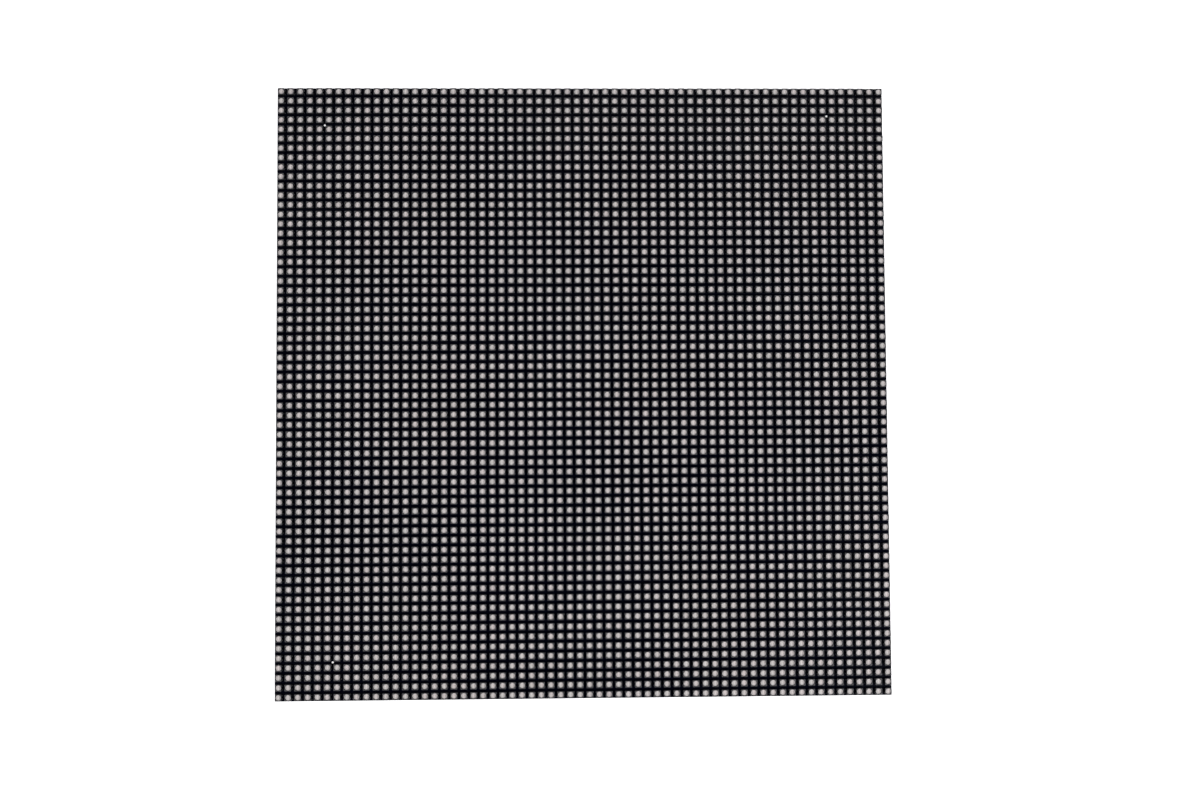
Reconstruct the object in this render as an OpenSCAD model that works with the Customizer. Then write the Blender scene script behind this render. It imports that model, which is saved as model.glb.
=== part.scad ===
// Square RGB LED matrix panel, lying on its rear frame with the LED side up.
// The rear rim of the frame is z = 0, and the panel's centre is the origin.

/* [LED field] */
// Number of LEDs along each side of the field
led_count = 64; // [48:8:72]
// Distance from one LED to the next, in both directions
pitch = 3; // [2.8:0.1:4]
// Height of an LED package above the board
led_h = 1.8; // [1:0.05:2]
// Width of an LED package
led_w = 2.1; // [1.6:0.05:2.5]

/* [Circuit board] */
// Gap from the board's edge to the outline that panels are tiled on
tiling_gap = 0.15; // [0.1:0.05:0.4]
// Thickness of the board
board_t = 1.6; // [1.2:0.1:2.4]
// Diameter of the bare copper marks that the placing machine aims at
fiducial_d = 0.62; // [0.4:0.02:0.8]
// Thickness of the copper on the board
copper_t = 0.05; // [0.04:0.01:0.1]

/* [Rear frame] */
// Depth of the frame, from the back of the board to the rear rim
frame_depth = 11.5; // [11:0.5:18]
// Step from the board's edge in to the frame's outer wall
frame_inset = 0.45; // [0.2:0.05:1]
// Width of the channel that runs round the frame
rim_w = 11; // [10:0.5:13]
// Width of the bars that cross the frame
bar_w = 9.4; // [9.2:0.2:12]
// Thickness of the frame's walls
wall = 1.6; // [1.2:0.1:2]
// Thickness of the web that lies against the board
web_t = 1.6; // [1.2:0.1:2.5]
// Thickness of the cross ribs in the channels
rib_t = 1.1; // [0.8:0.1:1.6]
// Distance that the ribs stop short of the rear rim
rib_recess = 3; // [2:0.5:5]
// Number of rib spaces between two crossings or bosses
rib_spaces = 4; // [2:1:5]
// Radius of the frame's outer corners
corner_r = 1.2; // [0.8:0.1:2]
// Radius of the windows' corners
window_r = 2; // [1:0.25:3]

/* [Fasteners] */
// Distance from the tiling outline to the centres of the brass inserts
insert_edge = 6; // [5.5:0.25:7.5]
// Outer diameter of the brass inserts
insert_d = 4.2; // [4:0.1:4.6]
// Length of the brass inserts
insert_l = 5.5; // [4:0.5:7]
// Core diameter of the inserts' thread, M3
insert_bore = 2.5; // [2.4:0.05:2.6]
// Plastic round an insert
insert_boss_wall = 2.1; // [1.9:0.1:2.4]
// Outer diameter of the round nuts soldered to the board
nut_d = 5; // [4.6:0.1:5.4]
// Height of the round nuts
nut_h = 4; // [3:0.5:5]
// Core diameter of the nuts' thread, M2.5
nut_bore = 2.1; // [2:0.05:2.2]
// Clearance round a nut in its pocket
nut_clearance = 0.2; // [0.1:0.05:0.3]
// Plastic round a nut
nut_boss_wall = 1.6; // [1.4:0.1:1.8]
// Diameter of a screw's head
head_d = 4.6; // [4:0.1:5]
// Height of a screw's head
head_h = 1.6; // [1.2:0.1:2]
// Clearance round a screw's head
head_clearance = 0.3; // [0.2:0.05:0.4]
// Plastic that a screw's head clamps
clamp_t = 2; // [1.5:0.25:3]
// Length of a screw under its head
screw_l = 5; // [4:0.5:5.5]
// Clearance round a screw's shank
shank_clearance = 0.4; // [0.2:0.1:0.6]

/* [Data headers] */
// Number of pins in each row of a data header
data_pins = 8; // [6:1:8]
// Distance between the pins
data_pitch = 2.54;
// Width of a header's shell
shell_w = 8.9; // [8.6:0.1:9.4]
// Height of a header's shell
shell_h = 9.1; // [8.5:0.1:9.6]
// Thickness of the shell's side walls
shell_wall = 1.1; // [0.9:0.1:1.3]
// Thickness of the shell's floor
shell_floor = 2.4; // [2:0.1:3]
// Length of the shell beyond the outer pins, each end
shell_end = 5.1; // [4.8:0.1:5.4]
// Width of the polarising slot
key_w = 4.5; // [4:0.1:5]
// Side of a square pin
pin_s = 0.64;
// Thickness of the pins' feet on the board
foot_t = 0.4; // [0.3:0.05:0.5]
// Length of a foot outside the shell
foot_l = 1.5; // [1:0.1:1.8]

/* [Power header] */
// Number of power pins
power_pins = 4; // [2:1:4]
// Distance between the power pins
power_pitch = 3.96;
// Width of the power header's base
power_w = 8; // [7.6:0.1:8.5]
// Height of the power header's base
power_base_h = 3.8; // [3.2:0.1:4.4]
// Height of the latch wall
latch_h = 10.2; // [9:0.1:10.4]
// Side of a power pin
power_pin_s = 1.14;

/* [Hidden] */
$fn = 48;
eps = 0.01;

// Outlines
side = led_count * pitch;
board_side = side - 2 * tiling_gap;
frame_side = board_side - 2 * frame_inset;
rim_in = frame_side / 2 - rim_w;
rim_mid = frame_side / 2 - rim_w / 2;
bar_x = side / 4;
bar_y = side / 6;

// Levels
board_z = frame_depth;
face_z = board_z + board_t;
web_z = board_z - web_t;
nut_z = board_z - nut_h;
seat_z = nut_z - clamp_t;

// The LEDs are placed in eight bands of rows, counted from the top
bands = 8;
band_rows = led_count / bands;

// Three fiducials, each on a crossing between four LEDs: [columns, rows] from the top left corner
fiducials = [[5, 4], [led_count - 6, 3], [6, led_count - 4]];

// Bosses
shank_d = nut_bore - 0.05;
insert_boss_d = insert_d + 2 * insert_boss_wall;
pocket_d = nut_d + 2 * nut_clearance;
nut_boss_d = pocket_d + 2 * nut_boss_wall;
insert_r = side / 2 - insert_edge;
insert_places = [
    for (x = [-1, 0, 1]) for (y = [-1, 0, 1]) if (x != 0 || y != 0) [x * insert_r, y * insert_r]
];
nut_places = [
    for (x = [-bar_x, bar_x]) for (y = [-rim_mid, -bar_y, bar_y, rim_mid]) [x, y]
];

// Where the parts on the back of the board stand
chip_step = (rim_in - bar_y - bar_w / 2) / 3;
chip_columns = [-1.5, -0.5, 0.5, 1.5] * side / 4;
header_x = (rim_in + bar_x + bar_w / 2) / 2;
shell_l = (data_pins - 1) * data_pitch + 2 * shell_end;
power_l = power_pins * power_pitch;
chip_body_h = 1.5;
dimple_d = 0.8;
dimple_inset = 0.95;
dimple_depth = 0.12;
driver_size = [8.65, 3.9];
row_driver_size = [9.9, 3.9];
row_driver_margin = 4;
row_driver_x = bar_x - bar_w / 2 - row_driver_margin - row_driver_size[0] / 2;
row_driver_step = (2 * bar_y - bar_w) / 4;
buffer_size = [6.5, 4.4];
buffer_gap = 5;
buffer_margin = 4.8;
buffer_y = bar_y - bar_w / 2 - buffer_margin - buffer_size[1] / 2;
can_d = 6.3;
can_h = 5.4;
can_base = [6.6, 6.6, 1.4];
can_gap = 2.2;
can_x = power_l / 2 + can_gap + can_base[0] / 2;
can_y = (can_gap + can_base[1]) / 2;
chip_c_size = [1.6, 0.8, 0.8];
chip_r_size = [1.6, 0.8, 0.45];
network_size = [3.2, 1.6, 0.55];
network_step = 5;
network_gap = 1.6;
network_x = header_x - shell_w / 2 - foot_l - network_gap - network_size[1] / 2;
part_gap = 1.6;

// LED side

module circuit_board() {
    color([0.03, 0.03, 0.04])
        translate([-board_side / 2, -board_side / 2, board_z])
            cube([board_side, board_side, board_t]);
}

module fiducial_marks() {
    color([0.93, 0.92, 0.88])
        for (f = fiducials)
            translate([f[0] * pitch - side / 2, side / 2 - f[1] * pitch, face_z])
                cylinder(d = fiducial_d, h = copper_t);
}

// One band of LEDs. Each package is the round column that fits in its square body.
module led_rows(band) {
    color([0.60, 0.58, 0.58])
        for (row = [0 : band_rows - 1])
            for (column = [0 : led_count - 1])
                translate([
                    (column + 0.5) * pitch - side / 2,
                    side / 2 - (band * band_rows + row + 0.5) * pitch,
                    face_z
                ])
                    cylinder(d = led_w, h = led_h);
}

// Rear frame

module rounded_rect(x0, x1, y0, y1, r) {
    translate([x0 + r, y0])
        square([x1 - x0 - 2 * r, y1 - y0]);
    translate([x0, y0 + r])
        square([x1 - x0, y1 - y0 - 2 * r]);
    for (x = [x0 + r, x1 - r])
        for (y = [y0 + r, y1 - r])
            translate([x, y])
                circle(r = r);
}

// The open spaces between the rim and the bars
window_xs = [
    [-rim_in, -bar_x - bar_w / 2], [-bar_x + bar_w / 2, bar_x - bar_w / 2], [bar_x + bar_w / 2, rim_in]
];
window_ys = [
    [-rim_in, -bar_y - bar_w / 2], [-bar_y + bar_w / 2, bar_y - bar_w / 2], [bar_y + bar_w / 2, rim_in]
];

module frame_plan() {
    difference() {
        rounded_rect(-frame_side / 2, frame_side / 2, -frame_side / 2, frame_side / 2, corner_r);
        for (x = window_xs)
            for (y = window_ys)
                rounded_rect(x[0], x[1], y[0], y[1], window_r);
    }
}

// The hollow of the rim and the bars, open to the rear
module channel_plan() {
    out = frame_side - 2 * wall;
    inn = 2 * (rim_in + wall);
    slot = bar_w - 2 * wall;
    difference() {
        square(out, center = true);
        square(inn, center = true);
    }
    for (x = [-bar_x, bar_x])
        translate([x, 0])
            square([slot, inn + wall], center = true);
    for (y = [-bar_y, bar_y])
        translate([0, y])
            square([inn + wall, slot], center = true);
}

// A rib across a channel that runs along X, or along Y when turned
module rib(across) {
    translate([-rib_t / 2, -across / 2, rib_recess])
        cube([rib_t, across, web_z + web_t / 2 - rib_recess]);
}

// Places along one side, between bars and corners, where no boss stands
module ribs_along(stops, across) {
    for (i = [0 : len(stops) - 2])
        for (k = [1 : rib_spaces - 1])
            translate([stops[i] + (stops[i + 1] - stops[i]) * k / rib_spaces, 0, 0])
                rib(across);
}

module frame_ribs() {
    rim_stops_x = [-rim_mid, -bar_x, 0, bar_x, rim_mid];
    rim_stops_y = [-rim_mid, -bar_y, 0, bar_y, rim_mid];
    for (s = [-1, 1]) {
        translate([0, s * rim_mid, 0])
            ribs_along(rim_stops_x, rim_w - wall);
        translate([s * rim_mid, 0, 0])
            rotate(90)
                ribs_along(rim_stops_y, rim_w - wall);
        translate([0, s * bar_y, 0])
            ribs_along([-rim_mid, -bar_x, bar_x, rim_mid], bar_w - wall);
        translate([s * bar_x, 0, 0])
            rotate(90)
                ribs_along([-rim_mid, -bar_y, bar_y, rim_mid], bar_w - wall);
    }
}

module rear_frame() {
    color([0.07, 0.07, 0.075])
        difference() {
            union() {
                difference() {
                    linear_extrude(board_z)
                        frame_plan();
                    translate([0, 0, -1])
                        linear_extrude(web_z + 1)
                            channel_plan();
                }
                frame_ribs();
                for (p = insert_places)
                    translate(p)
                        cylinder(d = insert_boss_d, h = web_z + web_t / 2);
                for (p = nut_places)
                    translate([p[0], p[1], rib_recess])
                        cylinder(d = nut_boss_d, h = web_z + web_t / 2 - rib_recess);
            }
            for (p = insert_places)
                translate([p[0], p[1], -1])
                    cylinder(d = insert_d, h = insert_l + 2);
            for (p = nut_places) {
                translate([p[0], p[1], nut_z])
                    cylinder(d = pocket_d, h = nut_h + 1);
                translate(p)
                    cylinder(d = shank_d + 2 * shank_clearance, h = board_z);
                translate([p[0], p[1], -1])
                    cylinder(d = head_d + 2 * head_clearance, h = seat_z + 1);
            }
        }
}

// Fasteners

module mounting_inserts() {
    color([0.80, 0.62, 0.30])
        for (p = insert_places)
            translate(p)
                difference() {
                    cylinder(d = insert_d, h = insert_l);
                    translate([0, 0, -1])
                        cylinder(d = insert_bore, h = insert_l + 2);
                }
}

module board_nuts() {
    color([0.78, 0.78, 0.76])
        for (p = nut_places)
            translate([p[0], p[1], nut_z])
                difference() {
                    cylinder(d = nut_d, h = nut_h);
                    translate([0, 0, -1])
                        cylinder(d = nut_bore, h = nut_h + 0.5);
                }
}

// A pan-head screw with a crossed recess, its head towards -Z
module screw() {
    recess_l = head_d * 0.6;
    recess_w = 0.7;
    recess_h = head_h * 0.6;
    difference() {
        union() {
            cylinder(d = shank_d, h = screw_l);
            rotate_extrude()
                polygon([
                    [0, -head_h], [head_d * 0.36, -head_h], [head_d / 2, -head_h * 0.45],
                    [head_d / 2, 0], [0, 0]
                ]);
        }
        for (a = [0, 90])
            rotate(a)
                translate([-recess_l / 2, -recess_w / 2, -head_h - 1])
                    cube([recess_l, recess_w, recess_h + 1]);
    }
}

module frame_screws() {
    color([0.70, 0.70, 0.72])
        for (p = nut_places)
            translate([p[0], p[1], seat_z])
                rotate(30)
                    screw();
}

// Data headers, standing on the back of the board and opening to the rear

// A box header with its long side along Y, and its slot towards +X
module data_shell() {
    inner_w = shell_w - 2 * shell_wall;
    inner_l = shell_l - 2 * shell_wall;
    depth = shell_h - shell_floor;
    difference() {
        translate([-shell_w / 2, -shell_l / 2, board_z - shell_h])
            cube([shell_w, shell_l, shell_h - foot_t]);
        translate([-inner_w / 2, -inner_l / 2, board_z - shell_h - 1])
            cube([inner_w, inner_l, depth + 1]);
        translate([0, -key_w / 2, board_z - shell_h - 1])
            cube([shell_w, key_w, depth + 1]);
        data_pin_places()
            translate([-pin_s / 2, -pin_s / 2, board_z - shell_h - 1])
                cube([pin_s, pin_s, shell_h + 2]);
    }
    for (y = [-1, 1])
        translate([-shell_w / 2 + 1, y * (shell_l / 2 - 1.5) - 1, board_z - foot_t - eps])
            cube([shell_w - 2, 2, foot_t + eps]);
}

module data_pin_places() {
    for (x = [-0.5, 0.5])
        for (k = [0 : data_pins - 1])
            translate([x * data_pitch, (k - (data_pins - 1) / 2) * data_pitch, 0])
                children();
}

// One pin and its foot, seen from the end of the header: the foot runs towards +X
module data_pin() {
    tip = board_z - shell_h + 0.9;
    taper = 0.18;
    reach = shell_w / 2 + foot_l - data_pitch / 2;
    translate([0, pin_s / 2, 0])
        rotate([90, 0, 0])
            linear_extrude(pin_s)
                polygon([
                    [-pin_s / 2 + taper, tip], [pin_s / 2 - taper, tip], [pin_s / 2, tip + 0.6],
                    [pin_s / 2, board_z - foot_t], [reach, board_z - foot_t], [reach, board_z],
                    [-pin_s / 2, board_z], [-pin_s / 2, tip + 0.6]
                ]);
}

module data_pin_set() {
    for (s = [0, 1])
        for (k = [0 : data_pins - 1])
            rotate(180 * s)
                translate([data_pitch / 2, (k - (data_pins - 1) / 2) * data_pitch, 0])
                    data_pin();
}

module data_shell_at(x) {
    color([0.09, 0.09, 0.10])
        translate([x, 0, 0])
            rotate(x > 0 ? 180 : 0)
                data_shell();
}

module data_pins_at(x) {
    color([0.85, 0.70, 0.35])
        translate([x, 0, 0])
            data_pin_set();
}

// Power header

power_pin_xs = [for (k = [0 : power_pins - 1]) (k - (power_pins - 1) / 2) * power_pitch];

// The base, with the tall latch wall along +Y
module power_shell() {
    latch_t = 1;
    rib_w = 1;
    rib_out = 0.7;
    rib_tip = 2.5;
    rib_root = 0.5;
    color([0.90, 0.88, 0.82])
        difference() {
            union() {
                translate([-power_l / 2, -power_w / 2, board_z - power_base_h])
                    cube([power_l, power_w, power_base_h]);
                translate([-power_l / 2, power_w / 2 - latch_t, board_z - latch_h])
                    cube([power_l, latch_t, latch_h]);
                for (x = power_pin_xs)
                    translate([x - rib_w / 2, power_w / 2 - latch_t - rib_out, board_z - latch_h + rib_tip])
                        cube([rib_w, rib_out + latch_t / 2, latch_h - rib_tip - rib_root]);
            }
            for (x = power_pin_xs) {
                translate([x - power_pin_s / 2, -power_pin_s / 2, board_z - latch_h])
                    cube([power_pin_s, power_pin_s, latch_h + 1]);
                translate([x - power_pin_s / 2, -power_w / 2 - 1, board_z - foot_t])
                    cube([power_pin_s, power_w / 2 + 1, foot_t + 1]);
            }
        }
}

module power_pins_set() {
    tip = board_z - latch_h + 0.8;
    color([0.82, 0.82, 0.80])
        for (x = power_pin_xs)
            translate([x - power_pin_s / 2, 0, 0])
                rotate([90, 0, 90])
                    linear_extrude(power_pin_s)
                        polygon([
                            [-power_pin_s / 2 + 0.3, tip], [power_pin_s / 2 - 0.3, tip],
                            [power_pin_s / 2, tip + 0.8], [power_pin_s / 2, board_z],
                            [-power_w / 2 - foot_l, board_z], [-power_w / 2 - foot_l, board_z - foot_t],
                            [-power_pin_s / 2, board_z - foot_t], [-power_pin_s / 2, tip + 0.8]
                        ]);
}

// Chips and small parts

// A moulded chip body along X, with its sides drafted both ways from the line where its leads leave.
// A dimple marks its first pin.
module chip_body(size) {
    draft = 0.18;
    half = size[1] / 2;
    mid = board_z - chip_body_h * 0.45;
    face = board_z - chip_body_h;
    difference() {
        translate([-size[0] / 2, 0, 0])
            rotate([90, 0, 90])
                linear_extrude(size[0])
                    polygon([
                        [-half + draft, board_z], [-half, mid], [-half + draft, face],
                        [half - draft, face], [half, mid], [half - draft, board_z]
                    ]);
        translate([dimple_inset - size[0] / 2, dimple_inset - half, face - 1])
            cylinder(d = dimple_d, h = dimple_depth + 1);
    }
}

// One colour's driver chips: one for each sixteen columns, in the upper and the lower half
module driver_chips(colour_row) {
    color([0.08, 0.08, 0.085])
        for (x = chip_columns)
            for (s = [-1, 1])
                translate([x, s * driver_y(colour_row), 0])
                    chip_body(driver_size);
}

function driver_y(colour_row) = bar_y + bar_w / 2 + chip_step * (2.5 - colour_row);

module row_driver_chips() {
    color([0.08, 0.08, 0.085])
        for (x = [-row_driver_x, row_driver_x])
            for (k = [-1.5 : 1 : 1.5])
                translate([x, k * row_driver_step, 0])
                    chip_body(row_driver_size);
}

module buffer_chips() {
    color([0.08, 0.08, 0.085])
        for (k = [-1, 0, 1])
            translate([k * (buffer_size[0] + buffer_gap), buffer_y, 0])
                chip_body(buffer_size);
}

module can_places() {
    for (x = [-can_x, can_x])
        for (y = [-can_y, can_y])
            translate([x, y, 0])
                children();
}

module capacitor_bases() {
    bevel = 1.2;
    half = can_base[0] / 2;
    color([0.08, 0.08, 0.08])
        can_places()
            translate([0, 0, board_z - can_base[2]])
                linear_extrude(can_base[2])
                    polygon([
                        [-half, -half], [half - bevel, -half], [half, -half + bevel],
                        [half, half - bevel], [half - bevel, half], [-half, half]
                    ]);
}

module capacitor_cans() {
    roll = 0.5;
    color([0.80, 0.81, 0.83])
        can_places()
            translate([0, 0, board_z - can_base[2] - can_h])
                rotate_extrude()
                    polygon([
                        [0, 0], [can_d / 2 - roll, 0], [can_d / 2, roll],
                        [can_d / 2, can_h - 1.6], [can_d / 2 - 0.3, can_h - 1.3],
                        [can_d / 2, can_h - 1], [can_d / 2, can_h], [0, can_h]
                    ]);
}

module small_part(size) {
    translate([-size[0] / 2, -size[1] / 2, board_z - size[2]])
        cube(size);
}

// Two beside each driver chip, and one at each end of the row drivers and buffers
module ceramic_capacitors() {
    color([0.62, 0.50, 0.36]) {
        for (x = chip_columns)
            for (s = [-1, 1])
                for (c = [0, 1, 2])
                    translate([x + driver_size[0] / 2 + part_gap, s * driver_y(c), 0])
                        rotate(90)
                            small_part(chip_c_size);
        for (s = [-1, 1])
            for (k = [-1.5 : 1 : 1.5])
                translate([s * (row_driver_x - row_driver_size[0] / 2 - part_gap), k * row_driver_step, 0])
                    rotate(90)
                        small_part(chip_c_size);
    }
}

module resistors() {
    color([0.10, 0.10, 0.11])
        for (x = chip_columns)
            for (s = [-1, 1])
                for (c = [0, 1, 2])
                    translate([x - driver_size[0] / 2 - part_gap, s * driver_y(c), 0])
                        rotate(90)
                            small_part(chip_r_size);
}

// Series resistors on the signal lines, beside each data header
module resistor_networks() {
    color([0.10, 0.10, 0.11])
        for (s = [-1, 1])
            for (k = [-1.5 : 1 : 1.5])
                translate([s * network_x, k * network_step, 0])
                    rotate(90)
                        small_part(network_size);
}

circuit_board();
fiducial_marks();
led_rows(0);  // led_rows_1
led_rows(1);  // led_rows_2
led_rows(2);  // led_rows_3
led_rows(3);  // led_rows_4
led_rows(4);  // led_rows_5
led_rows(5);  // led_rows_6
led_rows(6);  // led_rows_7
led_rows(7);  // led_rows_8
rear_frame();
mounting_inserts();
board_nuts();
frame_screws();
data_shell_at(-header_x);  // data_in_shell
data_pins_at(-header_x);  // data_in_pins
data_shell_at(header_x);  // data_out_shell
data_pins_at(header_x);  // data_out_pins
power_shell();
power_pins_set();
driver_chips(0);  // driver_chips_red
driver_chips(1);  // driver_chips_green
driver_chips(2);  // driver_chips_blue
row_driver_chips();
buffer_chips();
capacitor_cans();
capacitor_bases();
ceramic_capacitors();
resistors();
resistor_networks();
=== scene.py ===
import math
import random

import bpy
from mathutils import Matrix, Vector


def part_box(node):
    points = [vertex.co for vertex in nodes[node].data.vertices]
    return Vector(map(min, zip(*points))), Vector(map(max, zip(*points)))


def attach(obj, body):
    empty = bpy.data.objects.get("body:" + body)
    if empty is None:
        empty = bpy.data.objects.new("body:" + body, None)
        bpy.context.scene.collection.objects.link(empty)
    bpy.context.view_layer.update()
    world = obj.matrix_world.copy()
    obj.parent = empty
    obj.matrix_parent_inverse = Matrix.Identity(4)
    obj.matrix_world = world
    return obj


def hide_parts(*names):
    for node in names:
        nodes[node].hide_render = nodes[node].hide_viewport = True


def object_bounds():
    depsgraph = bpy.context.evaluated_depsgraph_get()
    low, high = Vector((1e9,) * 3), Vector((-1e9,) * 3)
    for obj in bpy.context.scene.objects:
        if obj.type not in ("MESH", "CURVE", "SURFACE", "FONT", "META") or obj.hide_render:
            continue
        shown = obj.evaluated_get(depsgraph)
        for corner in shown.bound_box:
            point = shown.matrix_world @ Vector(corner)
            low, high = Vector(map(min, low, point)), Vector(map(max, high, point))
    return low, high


mm = 0.001

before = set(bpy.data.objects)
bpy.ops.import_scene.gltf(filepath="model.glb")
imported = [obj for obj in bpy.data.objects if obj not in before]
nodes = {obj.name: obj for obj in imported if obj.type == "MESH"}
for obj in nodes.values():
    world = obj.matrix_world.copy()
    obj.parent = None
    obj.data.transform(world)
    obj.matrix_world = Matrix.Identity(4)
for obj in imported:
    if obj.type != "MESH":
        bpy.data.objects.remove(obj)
cadBox = [list(corner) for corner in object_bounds()]
ledNodes = [name for name in nodes if name.startswith("led_rows_")]
print("frame loaded:", len(nodes), "nodes,", len(ledNodes), "bands of LEDs")


# Camera: nearly straight above the LED side, a little towards the lower left
camera = {
    "lens": 45.0,
    "height": 468.97,  # above the LED windows, in mm
    "across": -8.91,
    "along": -26.31,
    "turn": (3.094, -1.716, -0.327),  # rotation vector, in degrees
    "windowDepth": 0.54,
}


def makeCamera():
    data = bpy.data.cameras.new("camera")
    data.lens = camera["lens"]
    data.sensor_width = 36
    data.clip_start = 0.01
    data.clip_end = 20
    obj = bpy.data.objects.new("camera", data)
    bpy.context.scene.collection.objects.link(obj)
    windowZ = cadBox[1][2] - camera["windowDepth"] * mm
    turn = Vector([math.radians(a) for a in camera["turn"]])
    obj.location = (camera["across"] * mm, camera["along"] * mm, windowZ + camera["height"] * mm)
    obj.rotation_mode = "QUATERNION"
    obj.rotation_quaternion = Matrix.Rotation(turn.length, 3, turn.normalized()).to_quaternion()
    bpy.context.scene.camera = obj


makeCamera()


# Small helpers for shader trees
def newMaterial(name, color, roughness, metallic=0.0, specular=0.5):
    material = bpy.data.materials.new(name)
    material.use_nodes = True
    shader = material.node_tree.nodes["Principled BSDF"]
    shader.inputs["Base Color"].default_value = (*color, 1)
    shader.inputs["Roughness"].default_value = roughness
    shader.inputs["Metallic"].default_value = metallic
    shader.inputs["Specular IOR Level"].default_value = specular
    return material


def addNode(tree, kind, inputs=None, **settings):
    node = tree.nodes.new(kind)
    for key, value in settings.items():
        setattr(node, key, value)
    for key, value in (inputs or {}).items():
        if isinstance(value, bpy.types.NodeSocket):
            tree.links.new(value, node.inputs[key])
        else:
            node.inputs[key].default_value = value
    return node


def shaderOf(material):
    return material.node_tree.nodes["Principled BSDF"]


def outputOf(tree):
    return next(node for node in tree.nodes if node.type == "OUTPUT_MATERIAL")


def placeOf(tree):
    return addNode(tree, "ShaderNodeTexCoord").outputs["Object"]


# How far a face looks up: 1 for the LED side, -1 for the rear
def facingOf(tree):
    normal = addNode(tree, "ShaderNodeNewGeometry").outputs["True Normal"]
    return addNode(tree, "ShaderNodeSeparateXYZ", {0: normal}).outputs[2]


def mathOf(tree, operation, a, b=0.0):
    return addNode(tree, "ShaderNodeMath", {0: a, 1: b}, operation=operation).outputs[0]


def mixColors(tree, factor, a, b):
    mix = addNode(tree, "ShaderNodeMix", data_type="RGBA")
    for socket, value in ((mix.inputs[0], factor), (mix.inputs[6], a), (mix.inputs[7], b)):
        if isinstance(value, bpy.types.NodeSocket):
            tree.links.new(value, socket)
        else:
            socket.default_value = value if isinstance(value, float) else (*value, 1)
    return mix.outputs[2]


# Noise that mottles the colour between two tones
def mottle(material, dark, light, size, detail=4.0):
    tree = material.node_tree
    noise = addNode(tree, "ShaderNodeTexNoise",
                    {"Vector": placeOf(tree), "Scale": 1 / size, "Detail": detail})
    color = mixColors(tree, noise.outputs["Fac"], dark, light)
    tree.links.new(color, shaderOf(material).inputs["Base Color"])


# Fine grain of a moulded, cast or brushed surface
def grain(material, size, depth, detail=2.0, stretch=(1, 1, 1), softEdge=None):
    tree = material.node_tree
    mapping = addNode(tree, "ShaderNodeMapping", {"Vector": placeOf(tree), "Scale": stretch})
    noise = addNode(tree, "ShaderNodeTexNoise",
                    {"Vector": mapping.outputs[0], "Scale": 1 / size, "Detail": detail})
    bump = addNode(tree, "ShaderNodeBump",
                   {"Height": noise.outputs["Fac"], "Distance": depth, "Strength": 1.0})
    if softEdge:
        edge = addNode(tree, "ShaderNodeBevel", {"Radius": softEdge}, samples=4)
        tree.links.new(edge.outputs[0], bump.inputs["Normal"])
    tree.links.new(bump.outputs[0], shaderOf(material).inputs["Normal"])


def unevenGloss(material, low, high, size):
    tree = material.node_tree
    noise = addNode(tree, "ShaderNodeTexNoise",
                    {"Vector": placeOf(tree), "Scale": 1 / size, "Detail": 3.0})
    spread = addNode(tree, "ShaderNodeMapRange",
                     {"Value": noise.outputs["Fac"], "From Min": 0.3, "From Max": 0.7,
                      "To Min": low, "To Max": high})
    tree.links.new(spread.outputs[0], shaderOf(material).inputs["Roughness"])


# Materials
def makeLedFace():
    material = newMaterial("ledFace", (0.052, 0.051, 0.053), 0.45, specular=0.6)
    mottle(material, (0.046, 0.045, 0.047), (0.059, 0.058, 0.060), 0.3 * mm)
    grain(material, 0.05 * mm, 0.004 * mm)
    return material


# Sides of the packages and walls of their recesses: the face's black plastic painted far darker, a painted
# shade in the gaps and recesses
def makeLedSidePaintedShade():
    material = newMaterial("ledSidePaintedShade", (0.006, 0.006, 0.008), 0.55, specular=0.15)
    mottle(material, (0.005, 0.005, 0.007), (0.007, 0.007, 0.009), 0.3 * mm)
    grain(material, 0.05 * mm, 0.004 * mm)
    return material


window = {
    "color": (0.71, 0.66, 0.63),
    "shadeSpread": 0.035,
    "warm": (0.73, 0.655, 0.63),
    "cool": (0.69, 0.665, 0.63),
    "tintSpread": 0.30,
    "padColor": (0.52, 0.49, 0.47),
    "padFade": (0.08, 0.42),  # from the gap between the pads to the full tone
    "padStrength": 0.55,
    "chipColor": (0.36, 0.27, 0.23),
    # x, y, size and strength
    "chips": [(0.36, 0.12, 0.20, 0.42), (0.33, -0.20, 0.14, 0.22), (0.30, 0.40, 0.13, 0.15)],
    "chipFade": (0.4, 1.5),  # in sizes, from the full tone to none
    "grainSize": 0.12,
    "grainDepth": 0.01,
}


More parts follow.
